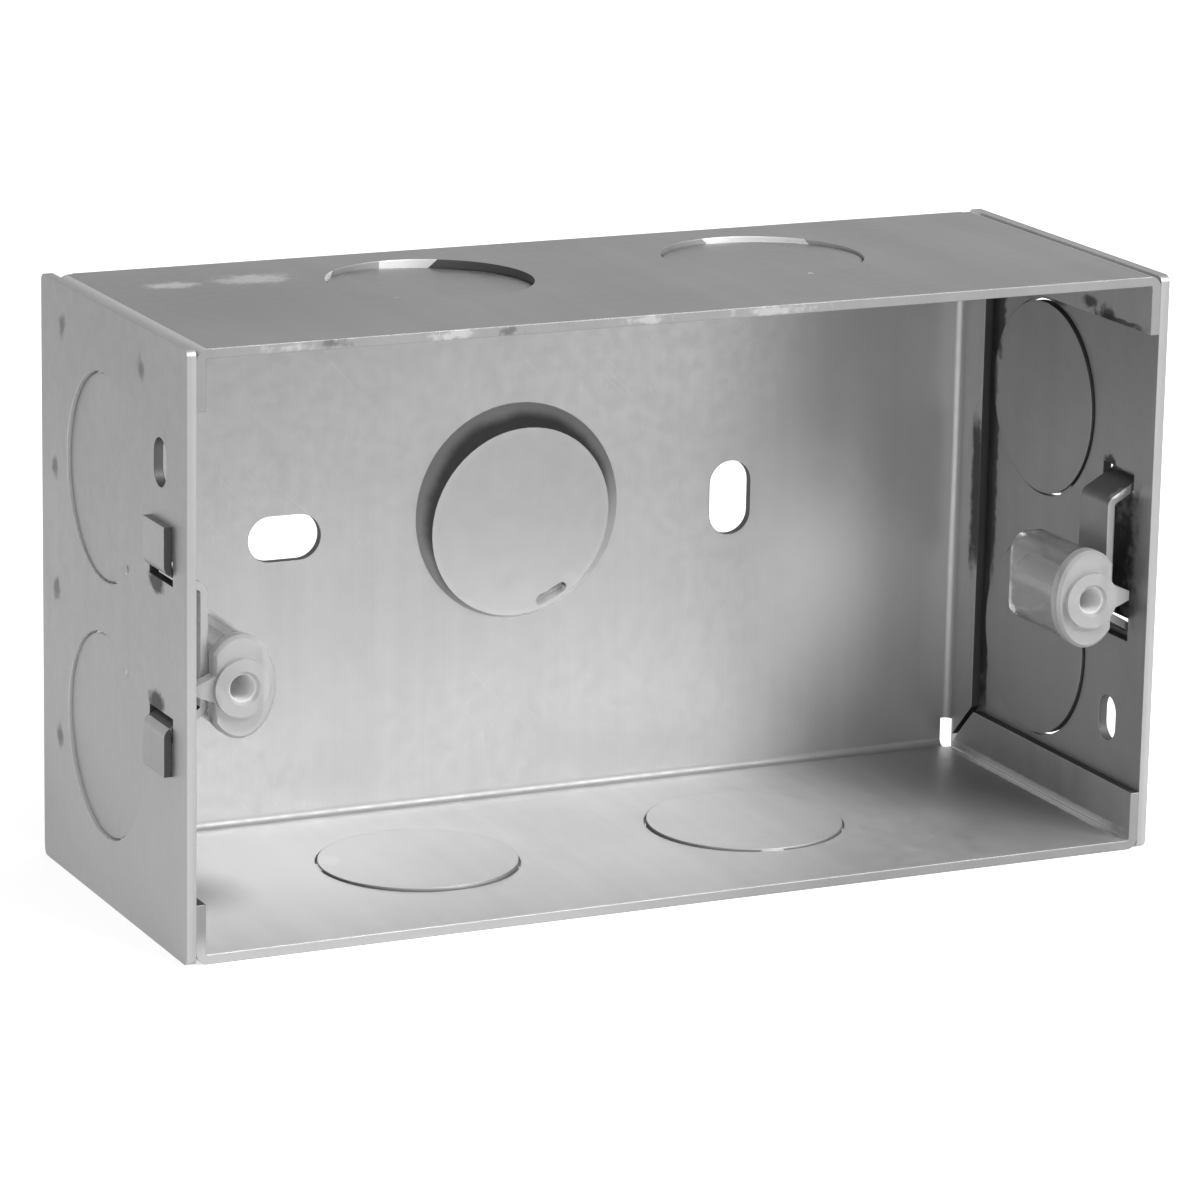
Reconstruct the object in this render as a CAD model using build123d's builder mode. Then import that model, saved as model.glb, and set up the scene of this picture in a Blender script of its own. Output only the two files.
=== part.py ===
"""A steel back box for a wall plate.

One sheet is folded into the back, the top and the bottom, with a flange at each end. Two flat end
plates are spot-welded over the flanges. A steel strap bridges the inside of each end plate, and a
plastic screw lug slides up and down on it, so that a wall plate can be levelled.

Millimetres. The origin is the middle of the underside, +Z is up and the open front faces -Y.
"""
import os
from math import asin, degrees, sqrt

from build123d import *

# Box
box_width = 132.0
box_height = 75.0
box_depth = 50.0
sheet = 1.2
fold_inside_radius = 1.0
side_fold_inside_radius = 0.3
flange_width = 7.5
corner_relief = 2.4
corner_relief_rise = 5.0
mitre_gap = 0.8
plate_corner = 1.0

# Knockouts: a punched hole, with its disc still held by one tab
knockout_diameter = 26.0
knockout_slit = 0.3
knockout_tab = 3.0
knockout_tab_grip = 1.0
knockout_step = 0.25
wall_knockout_spacing = 46.0
top_knockout_shift = 0.5
top_knockout_setback = 4.5
bottom_knockout_shift = -2.0
bottom_knockout_setback = 0.6
end_knockout_spacing = 32.5
end_knockout_setback = 3.0

# How far a disc leans into the box on the side away from its tab
closed_lean = 0.3
loose_lean = 0.5
started_lean = 0.9

# Knockout in the middle of the back, struck from behind: its disc leans into the box on a drawn rim
struck_rim_diameter = 28.6
struck_disc_diameter = 25.6
struck_rim_offset = (-1.4, 2.0)
struck_disc_offset = (-1.5, 0.8)
struck_rise = 1.6
struck_tilt = 5.8
struck_high_side = 116
pry_slot_length = 4.6
pry_slot_width = 1.3

# Slots for the wall screws in the back, and one small slot in each end plate
back_slot_spacing = 63.4
back_slot_shift = -2.2
back_slot_rise = 1.1
back_slot_length = 10.0
back_slot_width = 6.0
end_slot_length = 6.0
end_slot_width = 4.2
end_slot_setback = 8.8
end_slot_rise = 22.3

# Strap of the screw lug
strap_width = 7.0
strap_thickness = 1.0
strap_span = 20.6
strap_rise = 2.4
strap_leg_drop = 2.6
strap_setback = 8.5
strap_foot = 5.0
strap_inside_radius = 0.4
strap_window_clearance = 0.4

# Screw lug
lug_clearance = 0.25
lug_stop_clearance = 0.3
lug_body_width = 6.4
lug_body_height = 11.6
lug_body_length = 13.2
lug_body_corner = 2.4
lug_wall = 0.9
lug_head_width = 9.2
lug_head_height = 12.8
lug_head_thickness = 1.8
lug_head_edge = 0.4
lug_ring_diameter = 7.2
lug_ring_height = 0.8
lug_tube_diameter = 5.0
screw_hole_diameter = 3.2
screw_lead_in = 0.5
hook_height = 4.9
hook_thickness = 1.4
hook_reach = 1.5
hook_plate_gap = 1.0
ear_height = 3.4
ear_tip_height = 1.2

# Places that follow from the sizes above
front = -box_depth / 2
back = box_depth / 2
middle = box_height / 2
shell_length = box_width - 2 * sheet
plate_outside = box_width / 2
plate_inside = plate_outside - sheet
fold_outside_radius = fold_inside_radius + sheet
side_fold_outside_radius = side_fold_inside_radius + sheet
knockout_radius = knockout_diameter / 2
disc_radius = knockout_radius - knockout_slit
strap_place = front + strap_setback
strap_front = strap_place - strap_width / 2
strap_back = strap_place + strap_width / 2
crown_face = plate_inside - strap_rise - strap_thickness
leg_grade = strap_leg_drop / (plate_outside - crown_face)
leg_height = strap_thickness * sqrt(1 + leg_grade**2)
hook_face = crown_face + strap_thickness + lug_clearance
hook_tip = plate_inside - hook_plate_gap
hook_room = strap_span / 2 - leg_grade * (plate_outside - hook_face) - leg_height
lug_travel = 2 * (hook_room - lug_stop_clearance) - hook_height
lug_height = middle - lug_travel / 2
lug_axis = crown_face - lug_clearance - lug_body_width / 2
head_back = strap_front - lug_clearance

# Inside faces of the walls, each with its normal into the box
back_face = Plane((0, back - sheet, middle), x_dir=(1, 0, 0), z_dir=(0, -1, 0))
bottom_face = Plane((0, 0, sheet), x_dir=(1, 0, 0), z_dir=(0, 0, 1))
top_face = Plane((0, 0, box_height - sheet), x_dir=(1, 0, 0), z_dir=(0, 0, -1))
left_face = Plane((-plate_inside, 0, middle), x_dir=(0, 1, 0), z_dir=(1, 0, 0))

# Planes of the struck knockout: its rim on the wall, and its disc, highest on one side
rim_face = Plane(back_face * Location((*struck_rim_offset, 0)))
struck_face = Plane(
    back_face
    * Location((*struck_disc_offset, struck_rise), (0, 0, struck_high_side))
    * Location((0, 0, 0), (0, -struck_tilt, 0))
)


def knockout_disc(face, place, tab_angle, lean):
    """The disc of one knockout, pressed in by a step and tilted about the tab that still holds it."""
    tab_place = face * Location((*place, 0)) * Location((0, 0, 0), (0, 0, tab_angle))
    tilt = degrees(asin(lean / (2 * disc_radius)))
    with BuildPart() as disc:
        with BuildSketch(Plane(tab_place * Location((disc_radius, 0, knockout_step), (0, tilt, 0)))):
            with Locations((-disc_radius, 0)):
                Circle(disc_radius)
        extrude(amount=-sheet)
        with BuildSketch(Plane(tab_place * Location((disc_radius + knockout_slit / 2, 0, 0)))):
            Rectangle(knockout_slit + 2 * knockout_tab_grip, knockout_tab)
        extrude(amount=-sheet)
    return disc.part


def edges_at(builder, run, *places):
    """The straight edges along run that lie at the given places on other axes."""
    found = builder.edges().filter_by(run)
    for axis, value in places:
        found = found.filter_by_position(axis, value - sheet / 10, value + sheet / 10)
    return found


# Knockouts of the shell: face, place on it, direction of the tab, lean of the disc
half_spacing = wall_knockout_spacing / 2
shell_knockouts = [
    (bottom_face, (bottom_knockout_shift - half_spacing, bottom_knockout_setback), 170, closed_lean),
    (bottom_face, (bottom_knockout_shift + half_spacing, bottom_knockout_setback), -100, closed_lean),
    (top_face, (top_knockout_shift - half_spacing, -top_knockout_setback), 140, started_lean),
    (top_face, (top_knockout_shift + half_spacing, -top_knockout_setback), 80, loose_lean),
]
shell_discs = [knockout_disc(*knockout) for knockout in shell_knockouts]

# Shell: a folded channel, with a mitred flange at each end
with BuildPart() as box_shell:
    with BuildSketch(Plane.YZ):
        with BuildLine():
            outside = FilletPolyline(
                (front, 0),
                (back, 0),
                (back, box_height),
                (front, box_height),
                radius=fold_outside_radius,
            )
            inside = FilletPolyline(
                (front, sheet),
                (back - sheet, sheet),
                (back - sheet, box_height - sheet),
                (front, box_height - sheet),
                radius=fold_inside_radius,
            )
            Line(outside @ 0, inside @ 0)
            Line(outside @ 1, inside @ 1)
        make_face()
    extrude(amount=shell_length / 2, both=True)

    for side in (-1, 1):
        end = side * shell_length / 2
        with BuildSketch(Plane.YZ.offset(end)):
            with BuildLine():
                rim = FilletPolyline(
                    (front, 0),
                    (back, 0),
                    (back, box_height),
                    (front, box_height),
                    radius=fold_outside_radius,
                )
                lip = Polyline(
                    (front, flange_width),
                    (back - flange_width, flange_width),
                    (back - flange_width, box_height - flange_width),
                    (front, box_height - flange_width),
                )
                Line(rim @ 0, lip @ 0)
                Line(rim @ 1, lip @ 1)
            make_face()
        extrude(amount=-side * sheet)

        # Relief at the two rear corners, and the mitre between the flanges
        for level, mitre_angle in ((0, -45), (box_height, 45)):
            with Locations((end, back, level)):
                Box(2 * corner_relief, 2 * corner_relief, 2 * corner_relief_rise, mode=Mode.SUBTRACT)
            with Locations(Location((end, back, level), (mitre_angle, 0, 0))):
                Box(3 * sheet, 3 * flange_width * sqrt(2), mitre_gap, mode=Mode.SUBTRACT)

        # Folds of the flanges: rounded at the back, tight along the top and the bottom
        inner_end = end - side * sheet
        fillet(edges_at(box_shell, Axis.Z, (Axis.X, end), (Axis.Y, back)), fold_outside_radius)
        fillet(edges_at(box_shell, Axis.Z, (Axis.X, inner_end), (Axis.Y, back - sheet)), fold_inside_radius)
        for level, inner_level in ((0, sheet), (box_height, box_height - sheet)):
            outer_fold = edges_at(box_shell, Axis.Y, (Axis.X, end), (Axis.Z, level))
            inner_fold = edges_at(box_shell, Axis.Y, (Axis.X, inner_end), (Axis.Z, inner_level))
            fillet(outer_fold, side_fold_outside_radius)
            fillet(inner_fold, side_fold_inside_radius)

    # Wall-screw slots: one lies level and the other stands, so that the box can be squared up
    with BuildSketch(back_face):
        with Locations((back_slot_shift - back_slot_spacing / 2, back_slot_rise)):
            SlotOverall(back_slot_length, back_slot_width)
        with Locations((back_slot_shift + back_slot_spacing / 2, back_slot_rise)):
            SlotOverall(back_slot_length, back_slot_width, rotation=90)
    extrude(amount=-sheet, mode=Mode.SUBTRACT)

    for face, place, tab_angle, lean in shell_knockouts:
        with BuildSketch(face):
            with Locations(place):
                Circle(knockout_radius)
        extrude(amount=-sheet, mode=Mode.SUBTRACT)
    add(shell_discs)

    # Struck knockout: the drawn rim and its disc, the hollow behind them, and the slot for prying it out
    with BuildSketch(rim_face):
        Circle(struck_rim_diameter / 2)
    with BuildSketch(struck_face):
        Circle(struck_disc_diameter / 2)
    loft()
    with BuildSketch(rim_face.offset(-sheet)):
        Circle(struck_rim_diameter / 2 - sheet)
    with BuildSketch(struck_face.offset(-sheet)):
        Circle(struck_disc_diameter / 2 - sheet)
    loft(mode=Mode.SUBTRACT)
    with BuildSketch(struck_face):
        with Locations((pry_slot_width - struck_disc_diameter / 2, 0)):
            SlotOverall(pry_slot_length, pry_slot_width, rotation=90)
    extrude(amount=sheet, both=True, mode=Mode.SUBTRACT)

# End plates: one pressing, used again end over end on the other side
plate_knockouts = [
    (left_face, (end_knockout_setback, end_knockout_spacing / 2), -120, closed_lean),
    (left_face, (end_knockout_setback, -end_knockout_spacing / 2), 120, closed_lean),
]
plate_discs = [knockout_disc(*knockout) for knockout in plate_knockouts]
window_top = strap_span / 2 + strap_inside_radius + strap_window_clearance
window_bottom = strap_span / 2 - leg_grade * sheet - leg_height - strap_window_clearance
window_place = (window_top + window_bottom) / 2

with BuildPart() as end_plate_left:
    with BuildSketch(left_face) as plate_outline:
        Rectangle(box_depth, box_height)
        fillet(plate_outline.vertices(), plate_corner)
        for face, place, tab_angle, lean in plate_knockouts:
            with Locations(place):
                Circle(knockout_radius, mode=Mode.SUBTRACT)
        with Locations((front + end_slot_setback, end_slot_rise)):
            SlotOverall(end_slot_length, end_slot_width, rotation=90, mode=Mode.SUBTRACT)
        with Locations((strap_place, -window_place), (strap_place, window_place)):
            Rectangle(
                strap_width + 2 * strap_window_clearance,
                window_top - window_bottom,
                mode=Mode.SUBTRACT,
            )
    extrude(amount=-sheet)
    add(plate_discs)

end_over_end = Axis((0, 0, middle), (0, 1, 0))
with BuildPart() as end_plate_right:
    add(end_plate_left.part.rotate(end_over_end, 180))

# Strap: a hat-shaped staple with sloping legs, and feet folded flat on the outside of the plate
foot_end = strap_span / 2 + strap_foot
crown_end = strap_span / 2 - strap_leg_drop
strap_outside_radius = strap_inside_radius + strap_thickness

with BuildPart() as lug_strap_right:
    with BuildSketch(Plane.XZ.offset(-strap_place)):
        with BuildLine():
            run = FilletPolyline(
                (plate_outside, middle + foot_end),
                (plate_outside, middle + strap_span / 2),
                (crown_face, middle + crown_end),
                (crown_face, middle - crown_end),
                (plate_outside, middle - strap_span / 2),
                (plate_outside, middle - foot_end),
                radius=[
                    strap_inside_radius,
                    strap_outside_radius,
                    strap_outside_radius,
                    strap_inside_radius,
                ],
            )
            offset(run, amount=strap_thickness, side=Side.LEFT)
        make_face()
    extrude(amount=strap_width / 2, both=True)

with BuildPart() as lug_strap_left:
    mirror(lug_strap_right.part, about=Plane.YZ)

# Screw lug: an open-backed moulding that clips round both edges of the strap
body_plane = Plane((lug_axis, head_back, lug_height), x_dir=(1, 0, 0), z_dir=(0, 1, 0))
head_plane = Plane((lug_axis, head_back, lug_height), x_dir=(1, 0, 0), z_dir=(0, -1, 0))
hook_plane = Plane.XY.offset(lug_height)
hook_root = crown_face - lug_clearance
ear_root = lug_axis + lug_body_width / 2
ear_waist = ear_height + (ear_tip_height - ear_height) * (hook_face - ear_root) / (hook_tip - ear_root)

with BuildPart() as screw_lug_right:
    # Hollow body behind the head, with the screw tube down its middle
    with BuildSketch(body_plane):
        RectangleRounded(lug_body_width, lug_body_height, lug_body_corner)
        RectangleRounded(
            lug_body_width - 2 * lug_wall,
            lug_body_height - 2 * lug_wall,
            lug_body_corner - lug_wall,
            mode=Mode.SUBTRACT,
        )
        Circle(lug_tube_diameter / 2)
    extrude(amount=lug_body_length)

    # Oval head, cut straight on the side of the end plate
    with BuildSketch(head_plane):
        Ellipse(lug_head_width / 2, lug_head_height / 2)
        with Locations((lug_body_width / 2 + lug_clearance, 0)):
            Rectangle(
                lug_head_width,
                lug_head_height,
                align=(Align.MIN, Align.CENTER),
                mode=Mode.SUBTRACT,
            )
    extrude(amount=lug_head_thickness)
    chamfer(screw_lug_right.faces().sort_by(Axis.Y)[0].edges(), lug_head_edge)
    with BuildSketch(head_plane.offset(lug_head_thickness)):
        Circle(lug_ring_diameter / 2)
    extrude(amount=lug_ring_height)

    # Pointed ear in front of the strap, with a lip that reaches in behind it
    with BuildSketch(head_plane):
        with BuildLine():
            Polyline(
                (0, -ear_height / 2),
                (ear_root - lug_axis, -ear_height / 2),
                (hook_tip - lug_axis, -ear_tip_height / 2),
                (hook_tip - lug_axis, ear_tip_height / 2),
                (ear_root - lug_axis, ear_height / 2),
                (0, ear_height / 2),
                close=True,
            )
        make_face()
    extrude(amount=lug_head_thickness)
    with BuildSketch(body_plane):
        with BuildLine():
            Polyline(
                (hook_face - lug_axis, -ear_waist / 2),
                (hook_tip - lug_axis, -ear_tip_height / 2),
                (hook_tip - lug_axis, ear_tip_height / 2),
                (hook_face - lug_axis, ear_waist / 2),
                close=True,
            )
        make_face()
    extrude(amount=lug_clearance + hook_reach)

    # Hook round the strap's rear edge
    with BuildSketch(hook_plane):
        with BuildLine():
            Polyline(
                (hook_root - lug_wall, strap_back + lug_clearance),
                (hook_face, strap_back + lug_clearance),
                (hook_face, strap_back - hook_reach),
                (hook_tip, strap_back - hook_reach),
                (hook_tip, strap_back + lug_clearance + hook_thickness),
                (hook_root - lug_wall, strap_back + lug_clearance + hook_thickness),
                close=True,
            )
        make_face()
    extrude(amount=hook_height / 2, both=True)

    # Screw hole, with a lead-in at the ring
    with BuildSketch(head_plane.offset(lug_head_thickness + lug_ring_height)):
        Circle(screw_hole_diameter / 2)
    extrude(
        amount=-(lug_ring_height + lug_head_thickness + lug_body_length),
        mode=Mode.SUBTRACT,
    )
    mouth = screw_lug_right.faces().sort_by(Axis.Y)[0].edges().sort_by(SortBy.RADIUS)[0]
    chamfer(mouth, screw_lead_in)

with BuildPart() as screw_lug_left:
    mirror(screw_lug_right.part, about=Plane.YZ)

pieces = {
    "box_shell": box_shell,
    "end_plate_left": end_plate_left,
    "end_plate_right": end_plate_right,
    "lug_strap_left": lug_strap_left,
    "lug_strap_right": lug_strap_right,
    "screw_lug_left": screw_lug_left,
    "screw_lug_right": screw_lug_right,
}

os.makedirs("parts", exist_ok=True)
for name, piece in pieces.items():
    piece.part.label = name
    export_step(piece.part, f"parts/{name}.step")
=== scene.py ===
# %% [markdown]
# # A steel back box for a wall plate
# The box is folded from zinc-coated sheet and holds two plastic screw lugs. All its pieces come from
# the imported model, which sets every size and place, so this lesson is about finishes, light and the
# camera. The pieces keep their places: a finish is the only thing that they are given here.

# %% Load the frame
import math

import bpy
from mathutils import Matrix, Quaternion, Vector


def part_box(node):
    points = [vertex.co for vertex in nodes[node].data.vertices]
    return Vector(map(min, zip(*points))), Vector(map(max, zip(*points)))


MM = 0.001
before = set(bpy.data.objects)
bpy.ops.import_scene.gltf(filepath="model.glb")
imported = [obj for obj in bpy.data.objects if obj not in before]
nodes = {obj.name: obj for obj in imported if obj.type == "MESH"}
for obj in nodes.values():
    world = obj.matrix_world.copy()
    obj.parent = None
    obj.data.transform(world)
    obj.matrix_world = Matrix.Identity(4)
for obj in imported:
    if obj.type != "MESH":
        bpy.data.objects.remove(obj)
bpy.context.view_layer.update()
print("nodes:", sorted(nodes))

# %% [markdown]
# ## Places that the finishes need
# A finish has to know where the walls, folds and cut edges are. Most places are read from the packed
# pieces. The thickness of the sheet and the width of the flanges can't be read from a bounding box, so
# they are named here. Places on the box are in millimetres, as a sheet-metal worker measures. Blender
# works in metres, so a length goes into a node tree times MM.

# %% Read the main places
SHEET = 1.2
FLANGE = 7.5
shell_low, shell_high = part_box("box_shell")
FRONT = shell_low.y / MM
BACK = shell_high.y / MM
TOP = shell_high.z / MM
MIDDLE = (shell_low.z + shell_high.z) / 2 / MM
SHELL_END = shell_high.x / MM
PLATE_OUTSIDE = SHELL_END + SHEET
FLANGE_FACE = SHELL_END - SHEET
BACK_FACE = BACK - SHEET
SEAM = BACK - FLANGE
main_places = (FRONT, BACK, TOP, SHELL_END)
print("front, back, top and end of the shell, mm:", [round(place, 2) for place in main_places])

# %% [markdown]
# ## Helpers for node trees
# A node tree in code is a long row of new nodes and links. It could be drawn by hand in the shader
# editor, but a script can be read from top to bottom and changed in one place. Two helpers do the basic
# work: one adds a node, and one sets an input or links it.


# %% Helpers for nodes and inputs
def add(tree, kind, **settings):
    """Adds one node and sets its properties."""
    made = tree.nodes.new(kind)
    for name, value in settings.items():
        setattr(made, name, value)
    return made


def put(tree, target, value):
    """Gives an input a plain value, or links it to an output."""
    if isinstance(value, bpy.types.NodeSocket):
        tree.links.new(value, target)
    else:
        target.default_value = value


print("helpers:", add.__name__, put.__name__)

# %% [markdown]
# ### The nodes that are used most
# Five nodes come back again and again: a sum, a soft ramp, a mix of two colours, a stretched place and a
# noise. Each has a helper with the few inputs that matter here. A Mix node has its inputs for numbers,
# vectors and colours in one row, so the colours are found by their number in that row.

# %% Helpers for common nodes
MIX_FIRST = 6
MIX_SECOND = 7
MIX_RESULT = 2


def reckon(tree, operation, first, second=0.0):
    """A Math node."""
    made = add(tree, "ShaderNodeMath", operation=operation)
    put(tree, made.inputs[0], first)
    put(tree, made.inputs[1], second)
    return made.outputs[0]


def ramp(tree, value, low, high, start=0.0, end=1.0):
    """A soft step from start to end, while value goes from low to high."""
    made = add(tree, "ShaderNodeMapRange", interpolation_type="SMOOTHSTEP")
    put(tree, made.inputs["Value"], value)
    put(tree, made.inputs["From Min"], low)
    put(tree, made.inputs["From Max"], high)
    put(tree, made.inputs["To Min"], start)
    put(tree, made.inputs["To Max"], end)
    return made.outputs["Result"]


def mix_colours(tree, share, first, second):
    """A colour between two others."""
    made = add(tree, "ShaderNodeMix", data_type="RGBA")
    put(tree, made.inputs[0], share)
    put(tree, made.inputs[MIX_FIRST], first)
    put(tree, made.inputs[MIX_SECOND], second)
    return made.outputs[MIX_RESULT]


def scale_place(tree, place, factors):
    """A place with each of its axes stretched."""
    made = add(tree, "ShaderNodeVectorMath", operation="MULTIPLY")
    put(tree, made.inputs[0], place)
    put(tree, made.inputs[1], factors)
    return made.outputs[0]


def noise(tree, place, scale, detail=2.0, roughness=0.5):
    """A noise value from 0 to 1."""
    made = add(tree, "ShaderNodeTexNoise", noise_dimensions="3D")
    put(tree, made.inputs["Vector"], place)
    put(tree, made.inputs["Scale"], scale)
    put(tree, made.inputs["Detail"], detail)
    put(tree, made.inputs["Roughness"], roughness)
    return made.outputs[0]


print("helpers:", [helper.__name__ for helper in (reckon, ramp, mix_colours, scale_place, noise)])

# %% [markdown]
# ## Node groups
# Several finishes share the same effects: the grain that the rolling mill leaves, the soft clouds of a
# zinc coat, scuffs, marks at one spot and rubbed edges. Each effect could be built anew in each finish.
# As a node group with named inputs it is built once, and a finish is a few groups with its own values.

# %% Helpers for node groups
FLOAT = "NodeSocketFloat"
VECTOR = "NodeSocketVector"


def new_group(name, inputs, outputs):
    """A shader node group with its sockets; gives the group, what comes in and what goes out."""
    group = bpy.data.node_groups.new(name, "ShaderNodeTree")
    for label, kind, value in inputs:
        socket = group.interface.new_socket(name=label, in_out="INPUT", socket_type=kind)
        socket.default_value = value
    for label, kind in outputs:
        group.interface.new_socket(name=label, in_out="OUTPUT", socket_type=kind)
    source = group.nodes.new("NodeGroupInput")
    sink = group.nodes.new("NodeGroupOutput")
    return group, source.outputs, sink.inputs


def use_group(tree, group, **values):
    """Places a group in a tree, with its inputs set or linked by name."""
    made = add(tree, "ShaderNodeGroup", node_tree=group)
    for label, value in values.items():
        put(tree, made.inputs[label], value)
    return made.outputs


print("helpers:", new_group.__name__, use_group.__name__)

# %% [markdown]
# ### Rolling grain
# Cold-rolled sheet has fine lines along the direction in which it went through the rolls, and wider
# bands that reflect a little more or less. A photograph of sheet could be used as a texture, but noise
# that is stretched along the lines makes both, at any size and with no seams.

# %% Rolling grain
ROUND_THE_FOLDS = (2200.0, 40.0, 40.0)
UPRIGHT = (40.0, 2200.0, 40.0)
BAND_SCALE = 0.11

rolling_grain, come, go = new_group(
    "rolling_grain",
    [("Place", VECTOR, (0, 0, 0)), ("Across", VECTOR, ROUND_THE_FOLDS)],
    [("Fine", FLOAT), ("Band", FLOAT)],
)
fine_place = scale_place(rolling_grain, come["Place"], come["Across"])
put(rolling_grain, go["Fine"], noise(rolling_grain, fine_place, 1.0, detail=3.0, roughness=0.6))
put(rolling_grain, go["Band"], noise(rolling_grain, fine_place, BAND_SCALE))
print("group:", rolling_grain.name)

# %% [markdown]
# ### Zinc clouds
# A zinc coat isn't even. Large soft clouds change its tone, and small ones change its gloss. The group
# takes the size of a cloud, so the milky plastic of the lugs can use it too.

# %% Zinc clouds
SHEET_CLOUDS = 26 * MM
SPECKLES_PER_CLOUD = 14.0

zinc_clouds, come, go = new_group(
    "zinc_clouds",
    [("Place", VECTOR, (0, 0, 0)), ("Size", FLOAT, SHEET_CLOUDS)],
    [("Cloud", FLOAT), ("Speckle", FLOAT)],
)
cloud_scale = reckon(zinc_clouds, "DIVIDE", 1.0, come["Size"])
speckle_scale = reckon(zinc_clouds, "MULTIPLY", cloud_scale, SPECKLES_PER_CLOUD)
put(zinc_clouds, go["Cloud"], noise(zinc_clouds, come["Place"], cloud_scale, detail=3.0, roughness=0.55))
put(zinc_clouds, go["Speckle"], noise(zinc_clouds, come["Place"], speckle_scale, roughness=0.6))
print("group:", zinc_clouds.name)

# %% [markdown]
# ### Scuffs
# Handling leaves short scratches in a few directions, more of them in some places. Two turned and
# stretched noises give the scratches, and a third noise says where they lie thick.

# %% Scuffs
SCRATCH_STRETCH = (90.0, 2600.0, 900.0)
SCRATCH_TURNS = ((0.3, 0.5, 0.9), (1.1, -0.4, -0.7))
SCRATCH_LOW = 0.66
SCRATCH_HIGH = 0.74
PATCH_SCALE = 70.0
PATCH_LOW = 0.45
PATCH_HIGH = 0.7

scuffs, come, go = new_group(
    "scuffs",
    [("Place", VECTOR, (0, 0, 0)), ("Amount", FLOAT, 0.5)],
    [("Scratch", FLOAT)],
)
scratches = 0.0
for turn in SCRATCH_TURNS:
    turned = add(scuffs, "ShaderNodeVectorRotate", rotation_type="EULER_XYZ")
    put(scuffs, turned.inputs["Vector"], come["Place"])
    put(scuffs, turned.inputs["Rotation"], turn)
    lines = noise(scuffs, scale_place(scuffs, turned.outputs[0], SCRATCH_STRETCH), 1.0, detail=1.0)
    scratches = reckon(scuffs, "MAXIMUM", ramp(scuffs, lines, SCRATCH_LOW, SCRATCH_HIGH), scratches)
patches = ramp(scuffs, noise(scuffs, come["Place"], PATCH_SCALE), PATCH_LOW, PATCH_HIGH)
thick = reckon(scuffs, "MULTIPLY", scratches, patches)
put(scuffs, go["Scratch"], reckon(scuffs, "MULTIPLY", thick, come["Amount"]))
print("group:", scuffs.name)

# %% [markdown]
# ### Marks at one place
# Welds, smears and stains sit at known places, and so do painted highlights and painted shade. A round
# mark is 1 at its centre and falls to 0 at a radius along each axis. A straight-sided one does the same
# with the largest of the three distances. A little noise breaks up the outline of both. They could be
# painted on a picture, but a mark that is worked out from a place needs no unwrapping and stays sharp.

# %% Marks at one place
WAVER_SCALE = 700.0
WAVER_LOW = 0.2
WAVER_HIGH = 0.8


def mark_group(name, straight):
    """A node group that puts out a round or straight-sided mark."""
    group, come, go = new_group(
        name,
        [
            ("Place", VECTOR, (0, 0, 0)),
            ("Centre", VECTOR, (0, 0, 0)),
            ("Radii", VECTOR, (MM, MM, MM)),
            ("Hard", FLOAT, 0.3),
            ("Ragged", FLOAT, 0.25),
        ],
        [("Mark", FLOAT)],
    )
    from_centre = add(group, "ShaderNodeVectorMath", operation="SUBTRACT")
    put(group, from_centre.inputs[0], come["Place"])
    put(group, from_centre.inputs[1], come["Centre"])
    in_radii = add(group, "ShaderNodeVectorMath", operation="DIVIDE")
    put(group, in_radii.inputs[0], from_centre.outputs[0])
    put(group, in_radii.inputs[1], come["Radii"])
    if straight:
        size = add(group, "ShaderNodeVectorMath", operation="ABSOLUTE")
        put(group, size.inputs[0], in_radii.outputs[0])
        parts = add(group, "ShaderNodeSeparateXYZ")
        put(group, parts.inputs[0], size.outputs[0])
        reach = reckon(group, "MAXIMUM", parts.outputs[0], parts.outputs[1])
        reach = reckon(group, "MAXIMUM", reach, parts.outputs[2])
    else:
        length = add(group, "ShaderNodeVectorMath", operation="LENGTH")
        put(group, length.inputs[0], in_radii.outputs[0])
        reach = length.outputs["Value"]
    rough = noise(group, come["Place"], WAVER_SCALE, roughness=0.6)
    waver = ramp(group, rough, WAVER_LOW, WAVER_HIGH, start=-1.0, end=1.0)
    uneven = reckon(group, "ADD", reach, reckon(group, "MULTIPLY", waver, come["Ragged"]))
    put(group, go["Mark"], ramp(group, uneven, come["Hard"], 1.0, start=1.0, end=0.0))
    return group


round_mark = mark_group("round_mark", straight=False)
straight_mark = mark_group("straight_mark", straight=True)
print("groups:", round_mark.name, straight_mark.name)

# %% [markdown]
# ### Rubbed edges
# A cut edge of sheet is never quite sharp, and it is the first place to be rubbed bright. The Bevel node
# turns the normal near an edge as a small round would. Where that normal leaves the true one, there is
# an edge.

# %% Rubbed edges
EDGE_RADIUS = 0.22 * MM
EDGE_SAMPLES = 4
AGREE_AT_EDGE = 0.8
AGREE_ON_FLAT = 0.995

rubbed_edges, come, go = new_group(
    "rubbed_edges",
    [("Radius", FLOAT, EDGE_RADIUS)],
    [("Edge", FLOAT), ("Rounded", VECTOR)],
)
rounding = add(rubbed_edges, "ShaderNodeBevel", samples=EDGE_SAMPLES)
put(rubbed_edges, rounding.inputs["Radius"], come["Radius"])
surface = add(rubbed_edges, "ShaderNodeNewGeometry")
agreement = add(rubbed_edges, "ShaderNodeVectorMath", operation="DOT_PRODUCT")
put(rubbed_edges, agreement.inputs[0], rounding.outputs[0])
put(rubbed_edges, agreement.inputs[1], surface.outputs["Normal"])
edge = ramp(rubbed_edges, agreement.outputs["Value"], AGREE_AT_EDGE, AGREE_ON_FLAT, start=1.0, end=0.0)
put(rubbed_edges, go["Edge"], edge)
put(rubbed_edges, go["Rounded"], rounding.outputs[0])
print("group:", rubbed_edges.name)

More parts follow.
